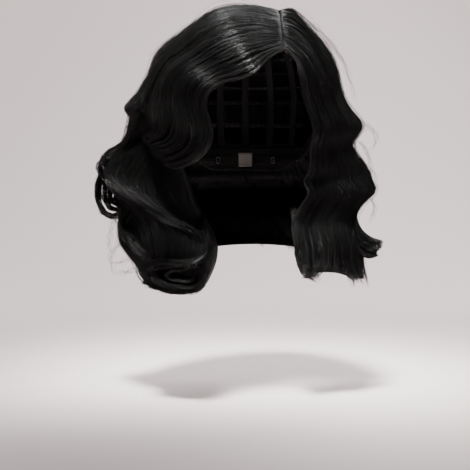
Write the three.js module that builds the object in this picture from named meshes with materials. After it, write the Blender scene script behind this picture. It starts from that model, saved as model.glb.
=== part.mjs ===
// A finger-wave costume wig: a sewn cap (lace crown, bands, ribbons, weft rows, ear tabs and
// size adjusters) carrying locks of set hair in three layers.
// Millimetres, +Z up. The face looks along -Y and the wearer's left is +X. The origin is the
// centre of the head at brow level.

import * as THREE from 'three';

// ---------------------------------------------------------------- driving dimensions

const HEAD_HALF_WIDTH = 77;
const HEAD_HALF_DEPTH = 97;
const HEAD_CROWN_HEIGHT = 84;
const HEAD_LOWER_HEIGHT = 140;
const HAIR_CENTRE_Y = 10;

const NET = { inside: 0, outside: 1.0 };
const RIBBON = { inside: 1.5, outside: 2.3, width: 10 };
const PARTING = { inside: 1.3, outside: 1.8, x: 33, halfWidth: 4, front: -72, back: 2 };
const SIDE_WEFT = { inside: 1.5, outside: 3.0 };
const BACK_WEFT = { inside: 2.7, outside: 4.2 };
const LINING = { inside: -1.3, outside: -0.5 };
const STRAP = { inside: -2.6, outside: -1.8 };
const HOOK = { inside: -3.3, outside: -1.7 };
const STAY = { inside: 1.4, outside: 2.2 };

const FRONT_TURN = -90;
const FRONT_LIFT = 30;
const TEMPLE_LIFT = -6;
const BAND_HEIGHT = 6.5;
const SEAM_GAP = 0.8;
const NET_BACK_LIFT = 36;
const EAR_TAB = { turn: -22, halfTurn: 8, top: -7.7, bottom: -21.8 };
const NAPE = { start: 39, low: -31, high: -20 };

const LOCK_GAP = 0.5;
const LOCK_GROOVE = 2.2;
const LOCK_COLUMNS = 4;
const LOCK_ROWS = 18;

const HAIR_COLOUR = 0x14110f;

// ---------------------------------------------------------------- materials

const cloth = (colour, roughness) => ({ color: colour, roughness, metalness: 0 });
const LOOK = {
  hair: { color: HAIR_COLOUR, roughness: 0.38, metalness: 0 },
  lace: cloth(0x1b1917, 0.9),
  skin: cloth(0xc79a78, 0.7),
  band: cloth(0x171614, 0.85),
  ribbon: cloth(0x1d1b19, 0.8),
  weft: cloth(0x121110, 0.75),
  elastic: cloth(0x22201e, 0.8),
  label: cloth(0xd9d6cf, 0.85),
  metal: { color: 0x9b9ea3, roughness: 0.35, metalness: 0.9 },
  plastic: { color: 0x151515, roughness: 0.5, metalness: 0 },
};

const wig = new THREE.Group();

function addPiece(name, geometry, look) {
  const mesh = new THREE.Mesh(geometry, new THREE.MeshStandardMaterial(LOOK[look]));
  mesh.name = name;
  wig.add(mesh);
}

// ---------------------------------------------------------------- shared maths

const radians = THREE.MathUtils.degToRad;
const degrees = THREE.MathUtils.radToDeg;
const mix = THREE.MathUtils.lerp;

function ease(from, to, value) {
  return THREE.MathUtils.smoothstep(value, from, to);
}

// A point on the head-shaped surface. "turn" goes round the head from the wearer's left through
// the back, "lift" climbs to the crown at 90 degrees, and "offset" stands off the surface.
function headPoint(turn, lift, offset) {
  const climb = Math.sin(radians(lift));
  const reach = Math.cos(radians(lift));
  const height = climb > 0 ? HEAD_CROWN_HEIGHT : HEAD_LOWER_HEIGHT;
  return new THREE.Vector3(
    (HEAD_HALF_WIDTH + offset) * reach * Math.cos(radians(turn)),
    (HEAD_HALF_DEPTH + offset) * reach * Math.sin(radians(turn)),
    (height + (climb > 0 ? offset : 0)) * climb,
  );
}

// The [turn, lift] of the point on the head below x and y.
function headPlace(x, y) {
  const across = x / HEAD_HALF_WIDTH;
  const depth = y / HEAD_HALF_DEPTH;
  const lift = Math.acos(Math.hypot(across, depth));
  return [degrees(Math.atan2(depth, across)), degrees(lift)];
}

function signedVolume(points, faces) {
  let sum = 0;
  for (const [a, b, c] of faces) {
    sum += points[a].dot(new THREE.Vector3().crossVectors(points[b], points[c]));
  }
  return sum / 6;
}

// A closed body from its corner points and triangles, with its faces turned outwards.
function closedBody(points, faces) {
  const turned = signedVolume(points, faces) < 0 ? faces.map(([a, b, c]) => [a, c, b]) : faces;
  const geometry = new THREE.BufferGeometry();
  const positions = points.flatMap((point) => point.toArray());
  geometry.setAttribute('position', new THREE.Float32BufferAttribute(positions, 3));
  geometry.setIndex(turned.flat());
  geometry.computeVertexNormals();
  return geometry;
}

// A slab between an inner and an outer skin. Both skins are functions of (across, along), each
// from 0 to 1, and four edge walls join them.
function slab(columns, rows, inner, outer) {
  const points = [];
  const faces = [];
  for (const skin of [inner, outer]) {
    for (let row = 0; row <= rows; row++) {
      for (let column = 0; column <= columns; column++) {
        points.push(skin(column / columns, row / rows));
      }
    }
  }
  const layer = (columns + 1) * (rows + 1);
  const at = (side, column, row) => side * layer + row * (columns + 1) + column;
  const quad = (a, b, c, d) => faces.push([a, b, c], [a, c, d]);
  for (let row = 0; row < rows; row++) {
    for (let column = 0; column < columns; column++) {
      quad(at(0, column, row), at(0, column, row + 1),
        at(0, column + 1, row + 1), at(0, column + 1, row));
      quad(at(1, column, row), at(1, column + 1, row),
        at(1, column + 1, row + 1), at(1, column, row + 1));
    }
  }
  for (let column = 0; column < columns; column++) {
    quad(at(0, column, 0), at(0, column + 1, 0), at(1, column + 1, 0), at(1, column, 0));
    quad(at(0, column + 1, rows), at(0, column, rows),
      at(1, column, rows), at(1, column + 1, rows));
  }
  for (let row = 0; row < rows; row++) {
    quad(at(0, 0, row + 1), at(0, 0, row), at(1, 0, row), at(1, 0, row + 1));
    quad(at(0, columns, row), at(0, columns, row + 1),
      at(1, columns, row + 1), at(1, columns, row));
  }
  return closedBody(points, faces);
}

// A strip of cloth lying on the head: "place" turns (across, along) into [turn, lift].
function headPatch(place, columns, rows, layer) {
  const skin = (offset) => (across, along) => headPoint(...place(across, along), offset);
  return slab(columns, rows, skin(layer.inside), skin(layer.outside));
}

const mirrored = (place) => (across, along) => {
  const [turn, lift] = place(across, along);
  return [180 - turn, lift];
};

function addPair(name, place, columns, rows, layer, look) {
  addPiece(`${name}_left`, headPatch(place, columns, rows, layer), look);
  addPiece(`${name}_right`, headPatch(mirrored(place), columns, rows, layer), look);
}

// ---------------------------------------------------------------- the cap

// Degrees round the head from the middle of the forehead, 0 to 180 on either side.
function fromFront(turn) {
  return Math.abs(((turn - FRONT_TURN + 540) % 360) - 180);
}

function hairline(turn) {
  return mix(FRONT_LIFT, TEMPLE_LIFT, ease(25, 66, fromFront(turn)));
}

function netEdge(turn) {
  const front = hairline(turn) + BAND_HEIGHT + SEAM_GAP;
  return mix(front, NET_BACK_LIFT, ease(66, 95, fromFront(turn)));
}

function earLine(turn) {
  return -7 - 19 * ease(95, 128, fromFront(turn));
}

function napeLine(turn) {
  return -26 + (NAPE.low + 26) * ease(129, 150, fromFront(turn));
}

// The lace crown: a thin open dome from the apex down to the bands.
function crownNet(segments, rings) {
  const points = [];
  const faces = [];
  for (const offset of [NET.inside, NET.outside]) {
    points.push(headPoint(0, 90, offset));
    for (let ring = 1; ring <= rings; ring++) {
      for (let step = 0; step < segments; step++) {
        const turn = (360 * step) / segments;
        points.push(headPoint(turn, mix(90, netEdge(turn), ring / rings), offset));
      }
    }
  }
  const layer = 1 + rings * segments;
  const at = (side, ring, step) => side * layer + 1 + (ring - 1) * segments + (step % segments);
  const push = (side, a, b, c) => faces.push(side ? [a, b, c] : [a, c, b]);
  for (const side of [0, 1]) {
    for (let step = 0; step < segments; step++) {
      push(side, side * layer, at(side, 1, step), at(side, 1, step + 1));
      for (let ring = 1; ring < rings; ring++) {
        push(side, at(side, ring, step), at(side, ring + 1, step), at(side, ring + 1, step + 1));
        push(side, at(side, ring, step), at(side, ring + 1, step + 1), at(side, ring, step + 1));
      }
    }
  }
  for (let step = 0; step < segments; step++) {
    const a = at(1, rings, step);
    const b = at(1, rings, step + 1);
    const c = at(0, rings, step + 1);
    const d = at(0, rings, step);
    faces.push([a, d, c], [a, c, b]);
  }
  return closedBody(points, faces);
}

function cap() {
  addPiece('crown_net', crownNet(36, 6), 'lace');

  // The skin-coloured strip under the parting, straight back from the hairline to the crown.
  const partingStrip = (across, along) => headPlace(
    PARTING.x + mix(-PARTING.halfWidth, PARTING.halfWidth, across),
    mix(PARTING.front, PARTING.back, along),
  );
  addPiece('parting_strip', headPatch(partingStrip, 1, 12, PARTING), 'skin');

  const bandStart = FRONT_TURN - 66;
  const frontBand = (across, along) => {
    const turn = mix(bandStart, bandStart + 132, along);
    return [turn, hairline(turn) + BAND_HEIGHT * across];
  };
  addPiece('front_band', headPatch(frontBand, 1, 26, NET), 'band');

  const earBand = (across, along) => {
    const turn = mix(FRONT_TURN + 67, NAPE.start - 1, along);
    return [turn, earLine(turn) + BAND_HEIGHT * across];
  };
  addPair('ear_band', earBand, 1, 12, NET, 'band');

  const napeBand = (across, along) => {
    const turn = mix(NAPE.start, 180 - NAPE.start, along);
    return [turn, mix(napeLine(turn), NAPE.high, across)];
  };
  addPiece('nape_band', headPatch(napeBand, 2, 18, NET), 'elastic');

  // Ear tabs taper to a rounded end, and each one carries a bendable stay.
  const earTab = (across, along) => {
    const narrowing = Math.sqrt(1 - 0.62 * along * along);
    const half = EAR_TAB.halfTurn * narrowing;
    return [EAR_TAB.turn + mix(-half, half, across), mix(EAR_TAB.top, EAR_TAB.bottom, along)];
  };
  addPair('ear_tab', earTab, 4, 5, NET, 'band');
  const earStay = (across, along) => [
    EAR_TAB.turn + mix(-1.4, 1.4, across),
    mix(EAR_TAB.top - 1.4, EAR_TAB.bottom + 1.4, along),
  ];
  addPair('ear_stay', earStay, 1, 4, STAY, 'metal');

  ribbons();
  wefts();
  adjusters();
}

// Upright ribbons join the lace crown to the bands.
function ribbons() {
  const ribbonAt = (turn, low) => (across, along) => {
    const lift = mix(NET_BACK_LIFT + 6, low, along);
    const radius = HEAD_HALF_DEPTH * Math.cos(radians(lift));
    const half = RIBBON.width / 2 / (radius * radians(1));
    return [turn + mix(-half, half, across), lift];
  };
  const backTurns = [50, 70, 90, 110, 130];
  backTurns.forEach((turn, index) => {
    addPiece(`back_ribbon_${index + 1}`, headPatch(ribbonAt(turn, -28), 1, 12, RIBBON), 'ribbon');
  });
  addPair('side_ribbon', ribbonAt(14, -8), 1, 7, RIBBON, 'ribbon');
}

// Rows of machine weft, sewn round the back on the ribbons and along each side on the lace.
function wefts() {
  const rowHeight = 2;
  const backRows = [[30, 16], [20, 16], [10, 16], [0, 18], [-10, 40], [-19, 44]];
  backRows.forEach(([lift, start], index) => {
    const place = (across, along) => [
      mix(start, 180 - start, along),
      lift + rowHeight * mix(-0.5, 0.5, across),
    ];
    addPiece(`weft_row_${index + 1}`, headPatch(place, 1, 22, BACK_WEFT), 'weft');
  });
  [22, 13].forEach((lift, index) => {
    const place = (across, along) => [
      mix(-34 + 6 * index, 4, along),
      lift + 12 * along + rowHeight * mix(-0.5, 0.5, across),
    ];
    addPair(`side_weft_${index + 1}`, place, 1, 7, SIDE_WEFT, 'weft');
  });
}

// Each elastic strap leaves the cap behind an ear and hooks into a loop tape inside the nape.
function adjusters() {
  const band = (from, to, low, high) => (across, along) => [
    mix(from, to, along),
    mix(low, high, across),
  ];
  addPair('loop_tape', band(51, 80, -28, -24), 1, 8, LINING, 'ribbon');
  addPair('adjuster_strap', band(40, 62.6, -27, -25), 1, 7, STRAP, 'elastic');
  addPair('adjuster_hook', band(63, 66.5, -27.4, -24.6), 1, 1, HOOK, 'metal');
  addPiece('care_label', headPatch(band(84, 96, -29, -22.5), 2, 3, LINING), 'label');
}

// ---------------------------------------------------------------- the hair

// Each strand below runs from its root to its tip over the outer surface of the hair, through
// the bends of the finger waves. All strands have the same number of points, so that points
// with the same place in the list lie on the same wave.
const STRANDS = {
  fringe: [
    [33.5, -79, 42], [23, -91, 36], [8, -102, 21], [-8, -104, 15], [-23, -102, 12],
    [-35, -98, 3], [-39, -96, -10], [-35, -95, -24], [-33, -96, -37], [-38, -95, -50],
    [-49, -90, -60], [-64, -80, -67], [-80, -64, -67], [-93, -48, -60],
  ],
  brow: [
    [33.5, -72, 51], [19, -85, 47], [1, -96, 40], [-17, -99, 32], [-36, -97, 25],
    [-49, -95, 14], [-55, -92, 1], [-54, -92, -15], [-51, -94, -29], [-53, -93, -41],
    [-63, -87, -51], [-78, -76, -56], [-92, -60, -55], [-101, -46, -46],
  ],
  templeWave: [
    [33.5, -64, 58.5], [14, -77, 60], [-6, -86, 54], [-27, -89, 47], [-46, -87, 37],
    [-61, -82, 24], [-71, -80, 10], [-74, -80, -5], [-71, -83, -19], [-70, -83, -30],
    [-76, -78, -40], [-89, -68, -45], [-100, -54, -41], [-105, -42, -33],
  ],
  sideWave: [
    [33.5, -50, 68.5], [10, -61, 72], [-16, -70, 69], [-39, -71, 59], [-59, -65, 48],
    [-76, -57, 34], [-87, -52, 17], [-94, -51, 1], [-96, -54, -11], [-92, -56, -20],
    [-91, -53, -29], [-96, -46, -35], [-103, -37, -36], [-108, -29, -32],
  ],
  crestFront: [
    [33.5, -48, 69.5], [10, -59, 73], [-16, -67, 71], [-39, -68, 61], [-60, -62, 49],
    [-77, -54, 34], [-88, -49, 17], [-95, -48, 1], [-99, -50, -9], [-99, -48, -14],
    [-99, -46, -18], [-99, -44, -21], [-100, -42, -24], [-101, -40, -26],
  ],
  crestMiddle: [
    [33.5, -32, 76.5], [9, -36, 85], [-22, -38, 82], [-49, -38, 68], [-72, -36, 51],
    [-87, -34, 32], [-98, -32, 12], [-106, -32, -3], [-109, -33, -10], [-109, -33, -15],
    [-108, -32, -19], [-107, -31, -22], [-107, -30, -24], [-107, -28, -26],
  ],
  crestRear: [
    [33.5, -9, 81.5], [7, -6, 91], [-29, -3, 86], [-59, -3, 68], [-84, -4, 48],
    [-96, -4, 25], [-110, -6, 3], [-117, -9, -7], [-118, -11, -12], [-117, -12, -17],
    [-115, -12, -23], [-112, -11, -29], [-110, -10, -34], [-108, -9, -38],
  ],
  left: [
    [32, -5, 82], [6, -3, 91], [-31, 0, 85], [-62, 0, 68], [-88, 0, 46],
    [-98, 0, 20], [-116, 0, -6], [-115, 0, -24], [-132, 4, -50], [-149, 8, -72],
    [-149, 10, -100], [-134, 5, -135], [-112, 0, -164], [-95, -4, -183],
  ],
  right: [
    [34.5, -8, 82], [45, -5, 86], [61, 0, 73], [75, 0, 58], [86, 0, 41],
    [94, 0, 17], [103, 0, -6], [113, 0, -27], [108, 0, -43], [120, 4, -66],
    [130, 5, -82], [113, 5, -112], [113, 0, -146], [120, -5, -180],
  ],
  rightWave: [
    [34.5, -38, 74.5], [45, -36, 74], [61, -33, 62], [72, -33, 45], [82, -30, 28],
    [88, -27, 8], [95, -23, -13], [102, -20, -31], [100, -17, -48], [109, -13, -68],
    [116, -12, -86], [103, -13, -113], [101, -17, -142], [106, -20, -175],
  ],
  rightFront: [
    [34.5, -65, 56.5], [45, -65, 52], [58, -63, 40], [67, -60, 26], [75, -52, 10],
    [80, -46, -6], [85, -40, -23], [89, -36, -37], [88, -30, -53], [94, -26, -71],
    [98, -24, -89], [88, -26, -113], [86, -30, -138], [90, -34, -169],
  ],
  rightTemple: [
    [34.5, -78, 44], [40, -79, 40], [46, -81, 33], [49, -84, 22], [53, -83, 8],
    [58, -76, -9], [62, -70, -24], [65, -64, -39], [65, -56, -55], [62, -46, -77],
    [56, -38, -101], [48, -35, -126], [47, -36, -147], [55, -42, -166],
  ],
  jaw: [
    [-77, -56, -9], [-75, -55, -26], [-70, -54, -45], [-65, -53, -64], [-60, -50, -81],
    [-55, -47, -98], [-48, -46, -113], [-40, -49, -129], [-35, -54, -143], [-34, -58, -156],
    [-37, -59, -168], [-44, -57, -179], [-52, -53, -186], [-64, -47, -189],
  ],
  cheek: [
    [-83, -44, -12], [-82, -44, -27], [-88, -45, -44], [-97, -43, -62], [-104, -42, -77],
    [-101, -45, -91], [-88, -50, -104], [-72, -55, -116], [-59, -60, -130], [-53, -62, -145],
    [-55, -61, -159], [-63, -57, -172], [-74, -52, -181], [-85, -46, -184],
  ],
  ear: [
    [-95, -29, -15], [-94, -27, -30], [-106, -28, -45], [-120, -27, -60], [-131, -26, -75],
    [-133, -28, -90], [-125, -33, -104], [-111, -39, -118], [-97, -44, -132], [-87, -47, -146],
    [-84, -46, -160], [-88, -42, -171], [-95, -37, -179], [-103, -30, -182],
  ],
  sideCurl: [
    [-99, -12, -17], [-98, -13, -31], [-108, -8, -46], [-127, -2, -59], [-146, 3, -73],
    [-149, 4, -90], [-145, 3, -105], [-137, 0, -121], [-127, -4, -137], [-118, -6, -152],
    [-110, -8, -164], [-105, -9, -173], [-103, -9, -180], [-106, -8, -184],
  ],
};

// How far the hair at the middle of the back stands behind the line from ear to ear.
const BACK_DEPTHS = [12, 28, 54, 82, 102, 113, 120, 126, 118, 123, 125, 114, 100, 84];

// How far the same hair ends above that line, so that the hem rises round the nape.
const BACK_RISE = [0, 0, 0, 0, 0, 0, 0, 0, 0, 0, 0, 8, 19, 31];

// Thickness of the hair from root to tip, and how full each part of the head is.
const LAYER_THICKNESS = [1.5, 3, 4.5, 6.5, 9, 11, 12, 12, 12, 12, 11, 10, 9, 7];
const WAVE_THICKNESS = [1.5, 3, 4.5, 6, 8, 10, 11, 10, 10, 9, 8, 8, 7, 6];
const CURL_THICKNESS = [4, 5, 5, 8, 12, 14, 14, 14, 14, 14, 13, 12, 10, 8];

// A strand round the back, on the half ellipse through the right and left strands.
function backStrand(angle) {
  const swing = Math.cos(radians(angle));
  const depth = Math.sin(radians(angle));
  return STRANDS.right.map((rightPoint, index) => {
    const leftPoint = STRANDS.left[index];
    const along = (1 - swing) / 2;
    return [
      mix(rightPoint[0], leftPoint[0], along),
      mix(rightPoint[1], leftPoint[1], along) + BACK_DEPTHS[index] * depth,
      mix(rightPoint[2], leftPoint[2], along) + BACK_RISE[index] * depth,
    ];
  });
}

const curveThrough = (points) => new THREE.CatmullRomCurve3(
  points.map((point) => (point.isVector3 ? point : new THREE.Vector3(...point))),
  false,
  'centripetal',
);

// A sheet of hair through neighbouring strands: "across" counts strands, "along" is root to tip.
function hairSheet(strands) {
  const curves = strands.map(curveThrough);
  return (across, along) => {
    const rung = curveThrough(curves.map((curve) => curve.getPoint(along)));
    return rung.getPoint(across / (curves.length - 1));
  };
}

function listValue(values, place) {
  const scaled = place * (values.length - 1);
  const index = Math.min(Math.floor(scaled), values.length - 2);
  return mix(values[index], values[index + 1], scaled - index);
}

// Moves a point towards the middle of the head, level with the point once below the brow.
function inwards(point, distance) {
  const centre = new THREE.Vector3(0, HAIR_CENTRE_Y, Math.min(point.z, 0));
  const direction = centre.sub(point).normalize();
  return point.clone().addScaledVector(direction, distance);
}

// One lock: the part of a sheet between two places across it, with rounded shoulders.
function lockGeometry(sheet, from, to, thickness, fullness) {
  const strandCount = fullness.length - 1;
  const place = (across, along) => {
    const width = sheet(from, along).distanceTo(sheet(to, along));
    const inset = ((LOCK_GAP / 2) / width) * (to - from);
    return mix(from + inset, to - inset, across);
  };
  const deep = (across, along) => {
    const strand = place(across, along);
    return listValue(thickness, along) * listValue(fullness, strand / strandCount);
  };
  const outer = (across, along) => {
    const shoulder = (2 * across - 1) ** 4;
    const groove = Math.min(LOCK_GROOVE, deep(across, along) * 0.35) * shoulder;
    return inwards(sheet(place(across, along), along), groove);
  };
  const inner = (across, along) => {
    return inwards(sheet(place(across, along), along), deep(across, along));
  };
  return slab(LOCK_COLUMNS, LOCK_ROWS, inner, outer);
}

// Cuts a sheet into neighbouring locks of equal share and names them in order.
function addLocks(strands, names, thickness, fullness) {
  const sheet = hairSheet(strands);
  const share = (strands.length - 1) / names.length;
  names.forEach((name, index) => {
    const from = index * share;
    addPiece(name, lockGeometry(sheet, from, from + share, thickness, fullness), 'hair');
  });
}

function hair() {
  const { fringe, brow, templeWave, sideWave } = STRANDS;
  addLocks(
    [fringe, brow, templeWave, sideWave],
    ['fringe_lock', 'brow_wave_lock', 'temple_wave_lock', 'side_wave_lock'],
    WAVE_THICKNESS,
    [0.7, 0.8, 0.95, 1],
  );
  const { crestFront, crestMiddle, crestRear } = STRANDS;
  addLocks(
    [crestFront, crestMiddle, crestRear],
    ['front_crest_lock', 'rear_crest_lock'],
    WAVE_THICKNESS,
    [1, 1, 1],
  );

  const { jaw, cheek, ear, sideCurl } = STRANDS;
  addLocks(
    [jaw, cheek, ear, sideCurl],
    ['jaw_curl_lock', 'cheek_curl_lock', 'ear_curl_lock', 'side_curl_lock'],
    CURL_THICKNESS,
    [1, 1, 1, 1],
  );

  const { rightTemple, rightFront, rightWave, right, left } = STRANDS;
  addLocks(
    [rightTemple, rightFront, rightWave, right, ...[30, 60, 90, 120, 150].map(backStrand), left],
    [
      'left_temple_lock', 'left_face_lock', 'left_side_lock', 'left_back_lock',
      'nape_left_lock', 'nape_middle_lock', 'nape_right_lock', 'right_back_lock',
      'right_rear_lock', 'right_side_lock',
    ],
    LAYER_THICKNESS,
    [0.45, 0.6, 0.8, 1, 1, 1, 1, 1, 1, 1],
  );

  // The blunt tuft that flicks out from the wearer's left side, above the hem.
  const flickFront = [[119, -9, -112], [124, -10, -124], [131, -11, -136], [137, -11, -145]];
  const flickRear = [[118, 5, -118], [122, 4, -130], [128, 2, -141], [133, 0, -149]];
  addLocks([flickFront, flickRear], ['left_flick_lock'], [2, 3, 3, 2], [1, 1]);
}

cap();
hair();

export default wig;
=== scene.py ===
import math
import bpy
import numpy as np
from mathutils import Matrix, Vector


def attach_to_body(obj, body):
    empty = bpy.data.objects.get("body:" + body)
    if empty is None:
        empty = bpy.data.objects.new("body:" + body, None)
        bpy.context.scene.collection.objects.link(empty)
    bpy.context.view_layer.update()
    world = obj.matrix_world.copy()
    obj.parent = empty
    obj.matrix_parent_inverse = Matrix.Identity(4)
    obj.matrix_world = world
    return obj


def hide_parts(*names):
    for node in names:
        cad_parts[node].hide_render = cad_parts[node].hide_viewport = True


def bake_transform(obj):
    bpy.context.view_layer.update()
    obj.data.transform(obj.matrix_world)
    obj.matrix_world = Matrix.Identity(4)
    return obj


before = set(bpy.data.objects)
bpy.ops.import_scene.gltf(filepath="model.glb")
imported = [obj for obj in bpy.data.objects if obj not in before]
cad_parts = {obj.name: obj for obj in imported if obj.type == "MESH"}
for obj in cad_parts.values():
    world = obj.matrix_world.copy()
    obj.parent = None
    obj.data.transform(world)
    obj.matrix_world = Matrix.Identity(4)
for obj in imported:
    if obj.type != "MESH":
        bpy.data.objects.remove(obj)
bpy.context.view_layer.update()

# ---- driving values, in metres unless a line says otherwise

MM = 0.001
HEAD_HALF_WIDTH = 77 * MM
HEAD_HALF_DEPTH = 97 * MM
HEAD_CROWN_HEIGHT = 84 * MM
HEAD_LOWER_HEIGHT = 140 * MM
HAIR_CENTRE_Y = 10 * MM

CAMERA_PLACE = (-0.011, -1.300, -0.044)
CAMERA_TARGET = (-0.011, 0.0, -0.135)
CAMERA_LENS = 99.8
CAMERA_SENSOR = 36
FLOOR_Z = -0.30
SEED = 7

# Each light's place, target, size, watts and spread in degrees.
LIGHTS = {
    "key": ((-0.15, -0.75, 1.35), (0, -0.06, 0.05), (0.45, 0.3), 2.6, 18),
    "fill": ((1.1, -0.9, 0.4), (0, 0, -0.05), (0.8, 0.8), 4, 180),
    "rear": ((0.5, 1.0, 0.9), (0, 0, -0.05), (0.8, 0.8), 14, 180),
    "backdrop_light": ((0, 0.5, 1.6), (0, 1.4, 0.1), (2.0, 0.5), 36, 180),
}

FIBRE_RADIUS = 0.19 * MM
FIBRE_STEPS = 40
GUIDE_STEPS = 120
CORE_DEPTH = 2.8 * MM
ROOT_DIVE = 1.4 * MM
STRAY_LIFT = 2.2 * MM
SHEET_ROWS = 161
COLUMNS_PER_STRAND = 12
TWIGS_IN_CLUMP = 8
FIBRES_IN_RING = 130
TRESSES_IN_RING = 9
FIBRES_IN_TRESS = 11
TRESS_GATHER = 0.75

# The cap: distances from the head in millimetres, turns and lifts in degrees.
RIBBON_TURNS = (50, 70, 90, 110, 130)
WEFT_ROWS = [(30, 16), (20, 16), (10, 16), (0, 18), (-10, 40), (-19, 44)]
WEFT_DROP = 9.5
BACK_WEFT_INSIDE = 2.7
SIDE_WEFT_INSIDE = 1.5
STITCH_RADIUS = 0.17
HOOK_WIRE = [(64.6, -26.0, -2.3), (63.4, -26.0, -2.9), (62.7, -26.1, -3.1), (62.6, -27.1, -3.0),
             (63.2, -27.3, -2.7), (65.2, -27.3, -2.5), (66.3, -26.9, -2.3), (66.5, -26.0, -2.2),
             (66.3, -25.1, -2.3), (65.2, -24.7, -2.5), (63.2, -24.7, -2.7), (62.6, -24.9, -3.0),
             (62.7, -25.8, -3.1)]
HOOK_STEPS = 96

# ---- the strands that shape the hair

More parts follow.
